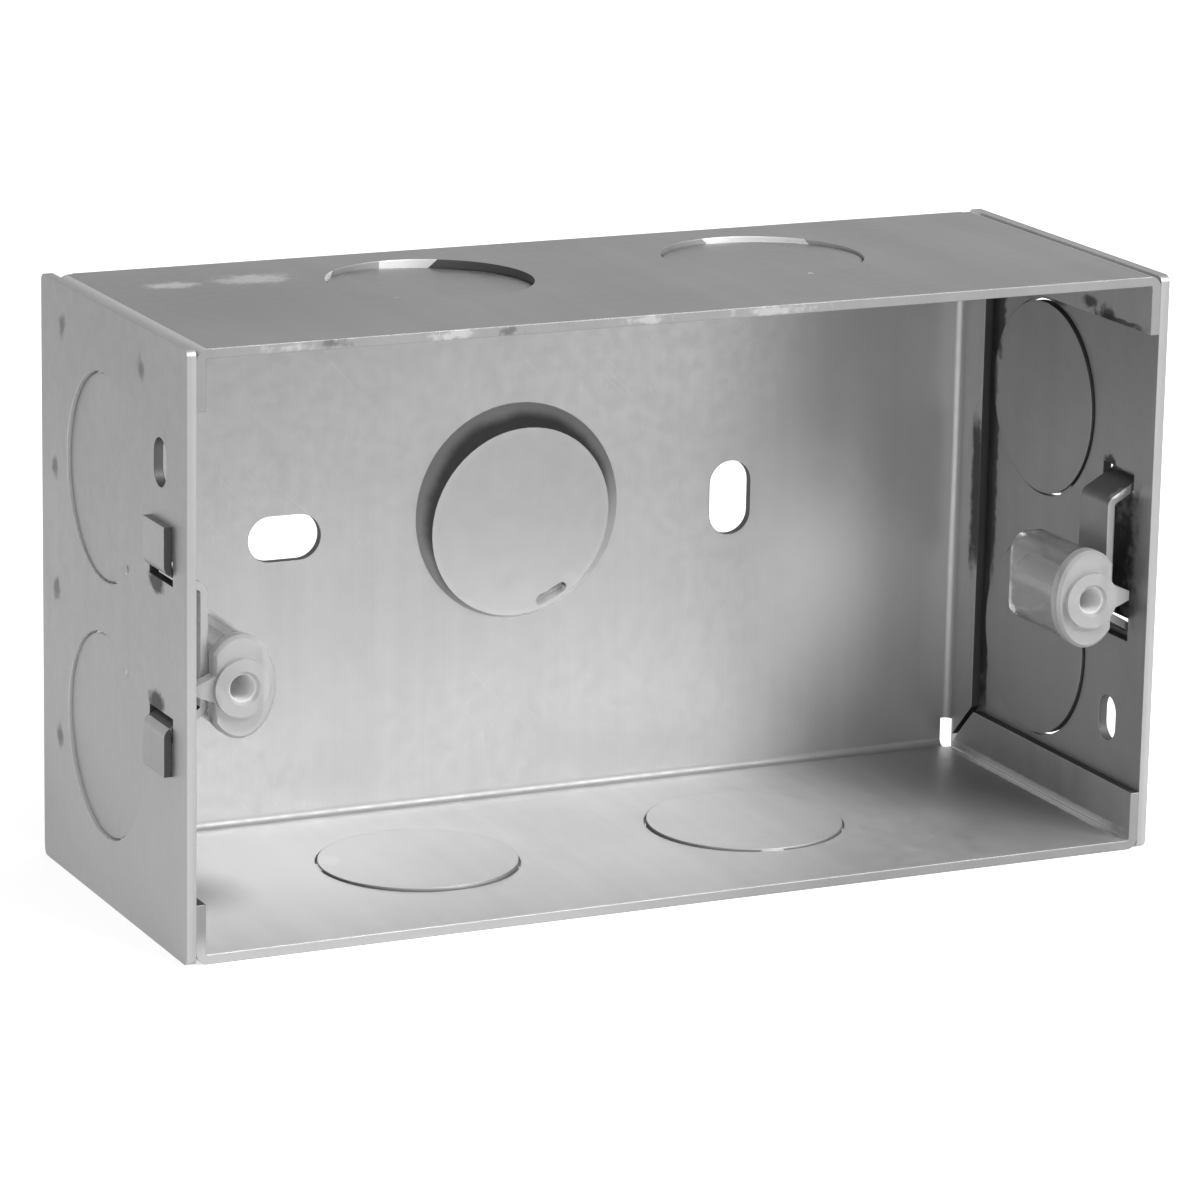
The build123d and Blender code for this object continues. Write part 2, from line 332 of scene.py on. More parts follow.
# %% [markdown]
# ## Zinc-coated sheet
# The shell, the end plates and the straps are zinc-coated steel, a satin grey metal. It could be one
# plain metal, but the grain, the clouds and the rubbed edges are what make it look rolled, coated and
# handled. First come the helpers for a new material, its place on the object, a grey and a cover.


# %% Helpers for materials
def new_material(name):
    """A material with one Principled shader; gives the material, its tree and that shader."""
    made = bpy.data.materials.new(name)
    made.use_nodes = True
    return made, made.node_tree, made.node_tree.nodes["Principled BSDF"]


def object_place(tree):
    """The place on the object, in metres."""
    return add(tree, "ShaderNodeTexCoord").outputs["Object"]


def grey(value):
    """A neutral grey as a colour, white at most."""
    value = min(1.0, value)
    return (value, value, value, 1.0)


def lay_over(tree, colour, mask, share, tone):
    """Covers a share of a colour with a grey tone, where the mask says so."""
    return mix_colours(tree, reckon(tree, "MULTIPLY", mask, share), colour, grey(tone))


print("helpers:", [helper.__name__ for helper in (new_material, object_place, grey, lay_over)])

# %% [markdown]
# ### One coat for all sheet
# One function makes every sheet finish from its tone, the direction of its grain, its roughness and its
# marks. The tone is laid down in layers: bands and clouds first, then fine lines, scratches and rubbed
# edges, which are paler than the coat, and the marks last. The shell's grain runs round its folds, and
# the grain of the end plates stands upright.

# %% One coat for all sheet
NOISE_LOW = 0.3
NOISE_HIGH = 0.7
BAND_SHARE = 0.4
CLOUD_SHARE = 0.6
DULL_PART = 0.93
PALE_PART = 1.06
LINE_SHARE = 0.06
LINE_GAIN = 1.35
SCRATCH_AMOUNT = 0.7
SCRATCH_SHARE = 0.25
SCRATCH_GAIN = 1.4
SCRATCH_DEPTH = -0.6
RUBBED_SHARE = 0.5
RUBBED_GAIN = 1.5
SPECKLE_LOW = 0.25
SPECKLE_HIGH = 0.75
SPECKLE_GLOSS = 0.04
CLOUD_GLOSS = 0.05
GLANCING_TINT = 0.6
BUMP_STRENGTH = 0.15
BUMP_HEIGHT = 0.02 * MM


def zinc_sheet(name, across, tone, roughness, metal=0.9, marks=()):
    """A satin zinc coat with its grain, clouds, scratches, rubbed edges and marks."""
    material, tree, shader = new_material(name)
    place = object_place(tree)
    grain = use_group(tree, rolling_grain, Place=place, Across=across)
    clouds = use_group(tree, zinc_clouds, Place=place, Size=SHEET_CLOUDS)
    scratch = use_group(tree, scuffs, Place=place, Amount=SCRATCH_AMOUNT)["Scratch"]
    edges = use_group(tree, rubbed_edges, Radius=EDGE_RADIUS)

    bands = reckon(tree, "MULTIPLY", grain["Band"], BAND_SHARE)
    uneven = reckon(tree, "ADD", bands, reckon(tree, "MULTIPLY", clouds["Cloud"], CLOUD_SHARE))
    spread = ramp(tree, uneven, NOISE_LOW, NOISE_HIGH)
    lines = ramp(tree, grain["Fine"], NOISE_LOW, NOISE_HIGH)
    colour = mix_colours(tree, spread, grey(tone * DULL_PART), grey(tone * PALE_PART))
    colour = lay_over(tree, colour, lines, LINE_SHARE, tone * LINE_GAIN)
    colour = lay_over(tree, colour, scratch, SCRATCH_SHARE, tone * SCRATCH_GAIN)
    colour = lay_over(tree, colour, edges["Edge"], RUBBED_SHARE, tone * RUBBED_GAIN)
    for mark in marks:
        mask = use_group(tree, mark["group"], Place=place, **mark["shape"])["Mark"]
        colour = lay_over(tree, colour, mask, mark["share"], mark["tone"])
    put(tree, shader.inputs["Base Color"], colour)

    gloss = ramp(tree, clouds["Speckle"], SPECKLE_LOW, SPECKLE_HIGH, -SPECKLE_GLOSS, SPECKLE_GLOSS)
    gloss = reckon(tree, "ADD", gloss, roughness)
    gloss = reckon(tree, "ADD", gloss, reckon(tree, "MULTIPLY", spread, CLOUD_GLOSS))
    put(tree, shader.inputs["Roughness"], gloss)
    shader.inputs["Metallic"].default_value = metal
    shader.inputs["Specular Tint"].default_value = grey(GLANCING_TINT)

    bump = add(tree, "ShaderNodeBump")
    bump.inputs["Strength"].default_value = BUMP_STRENGTH
    bump.inputs["Distance"].default_value = BUMP_HEIGHT
    height = reckon(tree, "ADD", grain["Fine"], reckon(tree, "MULTIPLY", scratch, SCRATCH_DEPTH))
    put(tree, bump.inputs["Height"], height)
    put(tree, bump.inputs["Normal"], edges["Rounded"])
    put(tree, shader.inputs["Normal"], bump.outputs["Normal"])
    print("finish:", name)
    return material


# %% [markdown]
# ### Describing a mark
# A mark is a place and three radii in millimetres, a tone, and the share of the coat that it covers. Its
# hard part is the share of the radius that it covers fully. A soft tone has no hard part and no ragged
# outline: it stands for the slow changes of tone across a wall, and inside the box most soft tones are
# painted light and shade. The radius that goes through the sheet is THIN, so a mark stays on its own side.

# %% Describing a mark
THIN = 1.0


def mark_at(group, centre, radii, tone, share, hard=0.3, ragged=0.25):
    """One mark on a sheet, with its centre and radii in millimetres."""
    shape = {"Centre": Vector(centre) * MM, "Radii": Vector(radii) * MM, "Hard": hard, "Ragged": ragged}
    return {"group": group, "shape": shape, "tone": tone, "share": share}


def soft_tone(centre, radii, tone, share, group=round_mark):
    """A wide change of tone that fades from its centre."""
    return mark_at(group, centre, radii, tone, share, hard=0.0, ragged=0.0)


print("helpers:", mark_at.__name__, soft_tone.__name__)

# %% [markdown]
# ### Outside of the shell
# The outside is painted duller than the inside, as painted shade for the darker room that it reflects.
# Its top gets darker to the left and has two pale patches near the left end.

# %% Outside of the shell
top_marks = [
    soft_tone((-52, 0, TOP), (34, 34, THIN), tone=0.26, share=0.8),
    mark_at(round_mark, (-53.8, 11.6, TOP), (4.2, 2.6, THIN), tone=0.75, share=0.55),
    mark_at(round_mark, (-43, 12.2, TOP), (6.5, 4.0, THIN), tone=0.75, share=0.5),
]
shell_outside = zinc_sheet("shell_outside", ROUND_THE_FOLDS, tone=0.31, roughness=0.40, marks=top_marks)

# %% [markdown]
# ### Back and top, inside
# The inside is painted brighter than the outside, for the light that falls into the box. The back has
# painted shade along its top, most at the right, and painted light low on the right and beside the right
# end. The disc of the struck knockout is a little duller than the wall round it. These tones reach some
# way forward of the wall, so that they cover the disc as well, which leans.

# %% Back and top, inside
DISC_RADIUS = 12.9
DISC_REACH = 40
TONE_REACH = 9
struck_disc = mark_at(
    round_mark,
    (-1.5, BACK, MIDDLE + 0.8),
    (DISC_RADIUS, DISC_REACH, DISC_RADIUS),
    tone=0.38,
    share=0.5,
    hard=0.9,
    ragged=0.0,
)
back_marks = [
    struck_disc,
    # Painted shade along the top and at the top right, painted light low on the right and at the right end.
    soft_tone((-35, BACK_FACE, TOP), (70, TONE_REACH, 40), tone=0.32, share=0.7),
    soft_tone((45, BACK_FACE, 30), (15, TONE_REACH, 26), tone=0.75, share=0.6),
    soft_tone((44, BACK_FACE, 64), (24, TONE_REACH, 24), tone=0.3, share=0.85),
    soft_tone((61, BACK_FACE, MIDDLE), (8, TONE_REACH, 50), tone=0.62, share=0.6),
]
shell_inside = zinc_sheet(
    "shell_inside", ROUND_THE_FOLDS, tone=0.45, roughness=0.36, metal=0.6, marks=back_marks
)

# %% [markdown]
# ### Bottom, inside
# The bottom is painted as the brightest wall, for the light that falls on it, and it throws the light on.
# It has a painted pool of light left of the middle, painted shade at the right end and a little at the
# left end. A painted highlight runs along the crease at the right end and along the foot of that flange,
# and a small one sits at the tab of the left knockout.

# %% Bottom, inside
CREASE_INSET = 0.4
CREASE_RISE = 0.5
# Painted highlight along a crease.
crease_painted_highlight = {"tone": 0.98, "share": 0.95, "hard": 0.5, "ragged": 0.1}
bottom_crease = (FLANGE_FACE - CREASE_INSET, -1, SHEET)
flange_crease = (FLANGE_FACE, -1, SHEET + CREASE_RISE)
bottom_marks = [
    # Painted pool of light, and painted shade at the right end and at the left end.
    soft_tone((-40, 4, SHEET), (34, 38, THIN), tone=0.97, share=0.85),
    soft_tone((62, 0, SHEET), (25, 40, THIN), tone=0.26, share=0.85),
    soft_tone((-57, -1, SHEET), (10, 12, THIN), tone=0.33, share=0.8),
    # Painted highlight at the tab of the left knockout.
    mark_at(round_mark, (-35.4, 4.2, SHEET), (1.9, 2.6, THIN), tone=0.98, share=0.95, hard=0.5),
    mark_at(straight_mark, bottom_crease, (0.9, BACK, THIN), **crease_painted_highlight),
]
bottom_inside = zinc_sheet(
    "bottom_inside", ROUND_THE_FOLDS, tone=0.78, roughness=0.36, metal=0.7, marks=bottom_marks
)

# %% [markdown]
# ### Flanges at the ends
# The flanges were pressed against the end plates and are dull again. Painted shade runs along the rear
# flange and along the lower edge of the top one, where two spots of painted shade sit as well.

# %% Flanges at the ends
top_flange_edge = TOP - FLANGE + 0.3
rear_edge = (FLANGE_FACE, SEAM, MIDDLE)
low_edge = (FLANGE_FACE, -17, top_flange_edge)
flange_marks = [
    # Painted shade in the gap along the rear flange and under the top flange, with two spots of it.
    mark_at(straight_mark, rear_edge, (THIN, 2.6, 12), tone=0.06, share=0.9, hard=0.6, ragged=0.1),
    mark_at(straight_mark, low_edge, (THIN, 8, 0.5), tone=0.05, share=0.8, hard=0.4, ragged=0.3),
    mark_at(round_mark, (FLANGE_FACE, -9.6, 68.9), (THIN, 2.4, 1.0), tone=0.06, share=0.85),
    mark_at(round_mark, (FLANGE_FACE, -14.4, 68.2), (THIN, 2.8, 1.4), tone=0.06, share=0.85),
    # Painted highlight along the foot of the flange.
    mark_at(straight_mark, flange_crease, (THIN, BACK, 0.8), **crease_painted_highlight),
]
flange_inside = zinc_sheet("flange_inside", UPRIGHT, tone=0.53, roughness=0.42, marks=flange_marks)

# %% [markdown]
# ### Front edge and folds
# The front edge of the top was bumped and has pale and dark dashes, each with its place along the edge,
# half its length and its tone. The front edge of the bottom is paler, most at the left. The folds to the
# flanges are pale outside, partly rubbed and partly painted light that lifts the shade in the groove
# beside the plates, and the fold at the back of the bottom is duller than the bottom.

# %% Front edge and folds
DASHES = (
    (-53.0, 3.9, 0.48),
    (-47.4, 2.6, 0.10),
    (-32.6, 3.4, 0.50),
    (-25.0, 2.0, 0.10),
    (-7.3, 4.0, 0.48),
    (10.6, 6.0, 0.46),
)
dash = {"share": 0.7, "hard": 0.2, "ragged": 0.6}
edge_marks = [
    mark_at(round_mark, (along, FRONT, TOP - SHEET / 2), (half, THIN, 0.8), tone, **dash)
    for along, half, tone in DASHES
]
low_front = (-45, FRONT, SHEET / 2)
edge_marks.append(mark_at(round_mark, low_front, (75, THIN, 4), tone=0.46, share=0.9, hard=0.2, ragged=0.0))
front_edge = zinc_sheet("front_edge", ROUND_THE_FOLDS, tone=0.27, roughness=0.40, marks=edge_marks)
# Partly rubbed and partly painted light, which lifts the shade in the groove beside the plates.
fold_rubbed_and_painted_light = zinc_sheet("fold_rubbed_and_painted_light", ROUND_THE_FOLDS, tone=0.5, roughness=0.5, metal=0.5)
back_fold = zinc_sheet("back_fold", ROUND_THE_FOLDS, tone=0.42, roughness=0.50, metal=0.6)

# %% [markdown]
# ### Outside of the end plates
# The plates are paler towards the bottom and darker towards the top. Each spot weld leaves a dull smudge
# where the electrode pressed, and painted shade sits beside the two feet of each strap. A loop gives both
# plates the same marks.

# %% Outside of the end plates
WELDS = ((-9.7, 69.8), (17.4, 69.8), (20.2, 51.5), (19.8, 35.9), (19.0, 17.1))
FOOT_ENDS = (45.0, 30.2)
foot_painted_shade = {"tone": 0.05, "share": 0.9, "hard": 0.5, "ragged": 0.15}
outside_marks = []
for side in (-1, 1):
    face = side * PLATE_OUTSIDE
    low_tone = soft_tone((face, 0, 0), (THIN, 60, 44), tone=0.48, share=0.8, group=straight_mark)
    high_tone = soft_tone((face, 0, TOP), (THIN, 60, 36), tone=0.32, share=0.8, group=straight_mark)
    outside_marks += [low_tone, high_tone]
    for height in FOOT_ENDS:
        # Painted shade beside a foot of the strap.
        outside_marks.append(mark_at(round_mark, (face, -15, height), (THIN, 3.2, 1.7), **foot_painted_shade))
    for depth, height in WELDS:
        weld = mark_at(round_mark, (face, depth, height), (THIN, 1.6, 1.9), tone=0.12, share=0.7)
        outside_marks.append(weld)
plate_outside = zinc_sheet("plate_outside", UPRIGHT, tone=0.38, roughness=0.42, marks=outside_marks)

# %% [markdown]
# ### Inside of the end plates
# The camera sees the inside of the right plate only, so the marks are there: painted shade along the
# seam at the rear flange, widest near the top, painted shade on the plate under the strap and in a spot
# above the strap, and two dark marks at the top of the upper knockout.

# %% Inside of the end plates
strap_low, strap_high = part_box("lug_strap_right")
STRAP_MIDDLE = (strap_low.y + strap_high.y) / 2 / MM
seam_painted_shade = {"share": 0.92, "hard": 0.75}
under_strap = (SHELL_END, STRAP_MIDDLE - 1, MIDDLE)
inside_marks = [
    soft_tone((SHELL_END, 0, 6), (THIN, 34, 30), tone=0.58, share=0.9),
    # Painted shade along the seam at the rear flange.
    mark_at(straight_mark, (SHELL_END, SEAM, MIDDLE), (THIN, 2.0, 32), tone=0.1, ragged=0.08, **seam_painted_shade),
    mark_at(straight_mark, (SHELL_END, SEAM, 43), (THIN, 2.9, 17), tone=0.1, ragged=0.1, **seam_painted_shade),
    mark_at(straight_mark, (SHELL_END, SEAM, 63), (THIN, 3.9, 7), tone=0.08, ragged=0.1, **seam_painted_shade),
    # Painted shade on the plate under the strap.
    mark_at(straight_mark, under_strap, (THIN, 5, 10), tone=0.05, share=0.95),
    # Painted shade in a spot above the strap.
    mark_at(round_mark, (SHELL_END, -14.4, 48.6), (THIN, 2.2, 1.4), tone=0.05, share=0.9, hard=0.5),
    mark_at(round_mark, (SHELL_END, 10.4, 66.6), (THIN, 4.0, 0.9), tone=0.08, share=0.7),
    mark_at(round_mark, (SHELL_END, 0, 67.2), (THIN, 3.2, 1.0), tone=0.08, share=0.7),
]
plate_inside = zinc_sheet("plate_inside", UPRIGHT, tone=0.42, roughness=0.42, marks=inside_marks)

# %% [markdown]
# ### Straps
# The straps are strip with a smoother coat than the sheet. A painted highlight sits at the front corner of
# the upper bend of the right one. The back of a strap is painted pale, hardly like metal, as painted light
# that lifts the shade between the strap and the plate.

# %% Straps
UPPER_BEND = (62.4, -20, 46.7)
# A painted highlight at the front corner of the right strap's upper bend.
bend_shine = mark_at(round_mark, UPPER_BEND, (1.8, 1.5, 1.4), tone=0.98, share=0.95, hard=0.6)
strap_zinc = zinc_sheet("strap_zinc", UPRIGHT, tone=0.36, roughness=0.34, marks=[bend_shine])
# Painted light on the back of a strap, which faces the plate.
strap_back_painted_light = zinc_sheet("strap_back_painted_light", UPRIGHT, tone=0.95, roughness=0.50, metal=0.1)

# %% [markdown]
# ### Sheared edges
# A punched wall isn't coated: it is dull, dark steel, and the same dark finish is also painted shade under
# the legs of the straps and along one stretch of a top slit. The remaining walls of the slits in the top
# and the bottom are painted grey, and those on the left plate paler still, as painted light that lifts the
# shade in the slits. Painted glints sit on the walls of the top slits. One finish could do for all, but
# then the rings round the knockouts would look drawn with one pen.

# %% Sheared edges
# Dark bare steel on cut walls, also used as painted shade under the strap legs and in one top slit.
sheared_edge_and_painted_shade = zinc_sheet("sheared_edge_and_painted_shade", ROUND_THE_FOLDS, tone=0.11, roughness=0.55, metal=0.8)
# Painted light that lifts the shade in the slits of the top and the bottom.
slit_wall_painted_light = zinc_sheet("slit_wall_painted_light", ROUND_THE_FOLDS, tone=0.4, roughness=0.50, metal=0.8)
# Paler painted light in the slits of the left plate.
left_slit_wall_painted_light = zinc_sheet("left_slit_wall_painted_light", ROUND_THE_FOLDS, tone=0.7, roughness=0.50, metal=0.6)
# Painted glints on the walls of the top slits.
painted_glint_edge = zinc_sheet("painted_glint_edge", ROUND_THE_FOLDS, tone=0.9, roughness=0.45, metal=0.6)

# %% [markdown]
# ### Drawn rim of the struck knockout
# The rim that was drawn out round the struck knockout is grey at the wall and has painted shade where it
# meets the disc. Its low right part is painted bright, as painted light. Both changes are soft ramps: one
# over the distance from the wall, with a ragged start, and one across the rim from the upper left to the
# lower right.

# %% Drawn rim of the struck knockout
RIM_CLOUDS = 6 * MM
RIM_LOW = 0.2
RIM_HIGH = 0.8
RIM_RAGGED = 0.3 * MM
SHADE_FROM = 0.5 * MM
SHADE_TO = 2.0 * MM
BRIGHT_FROM = (3 - MIDDLE) * MM
BRIGHT_TO = (14 - MIDDLE) * MM
RIM_AT_WALL = 0.55
RIM_AT_DISC = 0.15
RIM_BRIGHT = 0.85
RIM_SMOOTH = 0.45
RIM_ROUGH = 0.6
RIM_METAL = 0.85

drawn_rim, tree, shader = new_material("drawn_rim")
place = object_place(tree)
parts = add(tree, "ShaderNodeSeparateXYZ")
put(tree, parts.inputs[0], place)
across, deep, up = parts.outputs
clouds = use_group(tree, zinc_clouds, Place=place, Size=RIM_CLOUDS)
ragged = ramp(tree, clouds["Cloud"], RIM_LOW, RIM_HIGH, start=-RIM_RAGGED, end=RIM_RAGGED)
from_wall = reckon(tree, "ADD", reckon(tree, "SUBTRACT", BACK_FACE * MM, deep), ragged)
# Painted shade towards the disc.
shade = ramp(tree, from_wall, SHADE_FROM, SHADE_TO)
rim_tone = mix_colours(tree, shade, grey(RIM_AT_WALL), grey(RIM_AT_DISC))
# Painted light on the low right part of the rim.
bright = ramp(tree, reckon(tree, "SUBTRACT", across, up), BRIGHT_FROM, BRIGHT_TO)
put(tree, shader.inputs["Base Color"], mix_colours(tree, bright, rim_tone, grey(RIM_BRIGHT)))
gloss = ramp(tree, clouds["Speckle"], RIM_LOW, RIM_HIGH, start=RIM_SMOOTH, end=RIM_ROUGH)
put(tree, shader.inputs["Roughness"], gloss)
shader.inputs["Metallic"].default_value = RIM_METAL
print("finish:", drawn_rim.name)

# %% [markdown]
# ## Lug plastic
# The lugs are moulded in natural, uncoloured plastic. The thick head looks milky, and the thin walls of
# the hollow body let most of the light through, so they show pale rims. The wall of the screw hole is
# painted the palest, as painted light that lifts the shade in the hole, and lets little through.
# Transmission has to be one plain value in a material, so the head, the body and the hole have a
# material each.

# %% Lug plastic
PLASTIC_CLOUDS = 5 * MM
PLASTIC_IOR = 1.45
MILK_DARK = 0.95
MILK_PALE = 1.02
DULL_LOW = 0.2
DULL_HIGH = 0.8
DULL_GAIN = 1.3


def natural_plastic(name, pale, transmission, roughness):
    """Uncoloured plastic that lets a share of the light through."""
    material, tree, shader = new_material(name)
    clouds = use_group(tree, zinc_clouds, Place=object_place(tree), Size=PLASTIC_CLOUDS)
    milky = mix_colours(tree, clouds["Cloud"], grey(pale * MILK_DARK), grey(pale * MILK_PALE))
    put(tree, shader.inputs["Base Color"], milky)
    gloss = ramp(tree, clouds["Speckle"], DULL_LOW, DULL_HIGH, start=roughness, end=roughness * DULL_GAIN)
    put(tree, shader.inputs["Roughness"], gloss)
    shader.inputs["IOR"].default_value = PLASTIC_IOR
    shader.inputs["Transmission Weight"].default_value = transmission
    print("finish:", name)
    return material


lug_head_plastic = natural_plastic("lug_head_plastic", pale=0.73, transmission=0.55, roughness=0.30)
lug_body_plastic = natural_plastic("lug_body_plastic", pale=0.88, transmission=0.92, roughness=0.14)
# The hole wall is painted pale, as painted light that lifts the shade in the hole.
lug_hole_plastic = natural_plastic("lug_hole_plastic", pale=0.95, transmission=0.15, roughness=0.40)

# %% [markdown]
# ## Finishes on the pieces
# One piece has several finishes. They could be picked face by face in edit mode, but a rule is shorter
# and holds when the mesh changes: each face is asked where it lies and which way it looks. A face that
# looks into the box is inside. A face that lies within the sheet and looks along it is a sheared edge.

# %% Which way a face looks
NEAR = 0.02
LOOK_AHEAD = 6.0
FACING = 0.7
SIDE_ON = 0.4


def looks_in(centre, normal):
    """True where the next few millimetres before the face are inside the box."""
    ahead = centre + normal * LOOK_AHEAD
    return abs(ahead.x) < SHELL_END and FRONT < ahead.y < BACK and 0 < ahead.z < TOP


def looks_to_middle(centre, normal):
    """True where the face looks along the width, towards the middle of the box."""
    return abs(normal.x) > FACING and normal.x * centre.x < 0


print("a face looks along an axis when its normal has more than", FACING, "of it")

# %% [markdown]
# ### Cuts in the shell
# The shell has three kinds of cuts: the rim of the struck knockout, the slits of the knockouts in the
# top and the bottom, and the slots in the back. Each has a test of its own. The slits in the top have
# painted glints in three stretches and painted shade in one.

# %% Cuts in the shell
FOLD = 2.4
KNOCKOUT_REACH = 4.2
STRUCK_MIDDLE = Vector((-1.4, MIDDLE + 2.0))
STRUCK_REACH = 14.5
RIM_LEAN_LOW = -0.985
RIM_LEAN_HIGH = -0.05
GLINTS = ((-36, -32), (-24, -17), (22, 34))
SHADED = (-17, -8)


def in_drawn_rim(centre, normal):
    """True on the leaning faces round the struck knockout."""
    from_middle = Vector((centre.x, centre.z)) - STRUCK_MIDDLE
    return from_middle.length < STRUCK_REACH and RIM_LEAN_LOW < normal.y < RIM_LEAN_HIGH


def in_knockout_slit(centre, normal):
    """True on the wall of a slit in the top or the bottom."""
    flat_part = abs(centre.x) < SHELL_END - FOLD and centre.y < BACK - FOLD
    in_wall = centre.z < KNOCKOUT_REACH or centre.z > TOP - KNOCKOUT_REACH
    return flat_part and in_wall and abs(normal.z) < SIDE_ON


def in_back_slot(centre, normal):
    """True on the wall of a slot in the back."""
    flat_part = abs(centre.x) < SHELL_END - FOLD and FOLD < centre.z < TOP - FOLD
    in_sheet = BACK_FACE + NEAR < centre.y < BACK - NEAR
    return flat_part and in_sheet and abs(normal.y) < SIDE_ON


def slit_finish(centre):
    """The finish of one face in the slit of a knockout."""
    # Painted light in the slits, with painted shade in one stretch of the top and painted glints in three.
    if centre.z < MIDDLE:
        return slit_wall_painted_light
    if SHADED[0] < centre.x < SHADED[1]:
        return sheared_edge_and_painted_shade
    return painted_glint_edge if any(low < centre.x < high for low, high in GLINTS) else slit_wall_painted_light


print("glints along the top slits, mm:", GLINTS)

# %% [markdown]
# ### The shell's rule
# The rule goes from the special to the plain: cuts and edges first, then the flanges with their folds,
# then what looks into the box, and the outside last.

# %% The shell's rule
END_FOLD = 1.6
LEAN_LOW = 0.1
LEAN_HIGH = 0.95
BACK_FOLD_LOW = -0.97
FOLD_BEHIND = 0.5


def leans_to_end(normal):
    """True where a face leans to an end of the box, as on the fold to a flange."""
    return LEAN_LOW < abs(normal.x) < LEAN_HIGH


def end_fold_finish(normal):
    """The finish of the fold to a flange, rubbed and painted light at the top and the bottom, and not
    behind.
    """
    return fold_rubbed_and_painted_light if abs(normal.y) < FOLD_BEHIND else shell_outside


def inside_finish(normal):
    """The finish of a face that looks into the box."""
    if BACK_FOLD_LOW < normal.y < -LEAN_LOW and normal.z > LEAN_LOW:
        return back_fold
    return bottom_inside if normal.z > FACING else shell_inside


def shell_finish(centre, normal):
    """The finish of one face of the shell."""
    if in_drawn_rim(centre, normal):
        return drawn_rim
    if centre.y < FRONT + NEAR:
        return front_edge
    at_flange = abs(centre.x) > FLANGE_FACE - NEAR
    if at_flange and looks_to_middle(centre, normal):
        return flange_inside
    if at_flange:
        return end_fold_finish(normal) if leans_to_end(normal) else sheared_edge_and_painted_shade
    if in_knockout_slit(centre, normal):
        return slit_finish(centre)
    if in_back_slot(centre, normal):
        return sheared_edge_and_painted_shade
    if looks_in(centre, normal):
        return inside_finish(normal)
    on_end_fold = abs(centre.x) > SHELL_END - END_FOLD and leans_to_end(normal)
    return end_fold_finish(normal) if on_end_fold else shell_outside


print("rule:", shell_finish.__name__)

# %% [markdown]
# ### Rules of the plates and the straps
# A plate has its outside, its inside, its outline and its slits. The outline is rubbed as pale as the
# outside, so it has the same finish. A strap has painted shade under its legs, is dark at the sides of its
# feet, which were sheared, and has painted light at the back of its bridge.

# %% Rules of the plates and the straps
OUTLINE = 1.1
KNOCKOUT_FRONT = -11.0
LEG_SLOPE = 0.3


def plate_finish(centre, normal):
    """The finish of one face of an end plate."""
    if looks_to_middle(centre, normal):
        return plate_inside
    at_outline = abs(centre.y) > BACK - OUTLINE or abs(centre.z - MIDDLE) > MIDDLE - OUTLINE
    if abs(normal.x) > FACING or at_outline:
        return plate_outside
    in_left_knockout = centre.y > KNOCKOUT_FRONT and centre.x < 0
    # Painted light lifts the shade in the slits of the left plate; other slits are dark bare steel.
    return left_slit_wall_painted_light if in_left_knockout else sheared_edge_and_painted_shade


def strap_finish(centre, normal):
    """The finish of one face of a strap."""
    looks_out = normal.x * centre.x > 0
    under_leg = looks_out and abs(normal.z) > LEG_SLOPE and abs(centre.x) < PLATE_OUTSIDE
    foot_side = abs(normal.y) > FACING and abs(centre.x) > PLATE_OUTSIDE
    # Painted shade under a leg; the sides of a foot are sheared edges.
    if under_leg or foot_side:
        return sheared_edge_and_painted_shade
    bridge_back = looks_out and abs(normal.x) > FACING and abs(centre.x) < FLANGE_FACE
    # Painted light at the back of the bridge.
    return strap_back_painted_light if bridge_back else strap_zinc


print("rules:", plate_finish.__name__, strap_finish.__name__)

# %% [markdown]
# ### Rule of the lugs
# A lug has a round head with a screw hole, in front of a hollow body. The place of the hole is measured
# from the right lug's box. Both lugs hang at the same height while the rule runs, so it does for both.

# %% Rule of the lugs
HEAD_DEPTH = 2.6
HEAD_HALF = 4.6
HOLE_REACH = 1.7
lug_low, lug_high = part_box("screw_lug_right")
head_back = lug_low.y / MM + HEAD_DEPTH
lug_axis = lug_low.x / MM + HEAD_HALF
lug_level = (lug_low.z + lug_high.z) / 2 / MM


def lug_finish(centre, normal):
    """The finish of one face of a lug, which doesn't depend on the way that the face looks."""
    from_axis = Vector((abs(centre.x) - lug_axis, centre.z - lug_level))
    if from_axis.length < HOLE_REACH:
        return lug_hole_plastic
    return lug_head_plastic if centre.y < head_back + NEAR else lug_body_plastic


print("screw hole of a lug, mm from the middle and the floor:", round(lug_axis, 2), round(lug_level, 2))

# %% [markdown]
# ### Each face gets its finish
# Every piece has a list of slots, and every face has the number of one slot. The loop asks the piece's
# rule for each face and adds a slot when a finish comes up for the first time.

# %% Give each face its finish
rule_of = {
    "box_shell": shell_finish,
    "end_plate_left": plate_finish,
    "end_plate_right": plate_finish,
    "lug_strap_left": strap_finish,
    "lug_strap_right": strap_finish,
    "screw_lug_left": lug_finish,
    "screw_lug_right": lug_finish,
}
for name, rule in rule_of.items():
    piece = nodes[name]
    mesh = piece.data
    mesh.materials.clear()
    turn = piece.matrix_world.to_3x3()
    finishes = []
    for face in mesh.polygons:
        centre = piece.matrix_world @ face.center
        finish = rule(centre / MM, (turn @ face.normal).normalized())
        if finish not in finishes:
            finishes.append(finish)
            mesh.materials.append(finish)
        face.material_index = finishes.index(finish)
    print(name, "has", [finish.name for finish in finishes], "on", len(mesh.polygons), "faces")

# %% [markdown]
# ## Floor
# The box stands on a pale floor that fills the picture. The floor looks white to the camera, in
# reflections and through the plastic, by Light Path, and gives no more light than a pale floor would, so
# the box keeps its soft shadow. It lies a hair below the box and is clear from below, by Backfacing, so
# the underside can be looked at too.


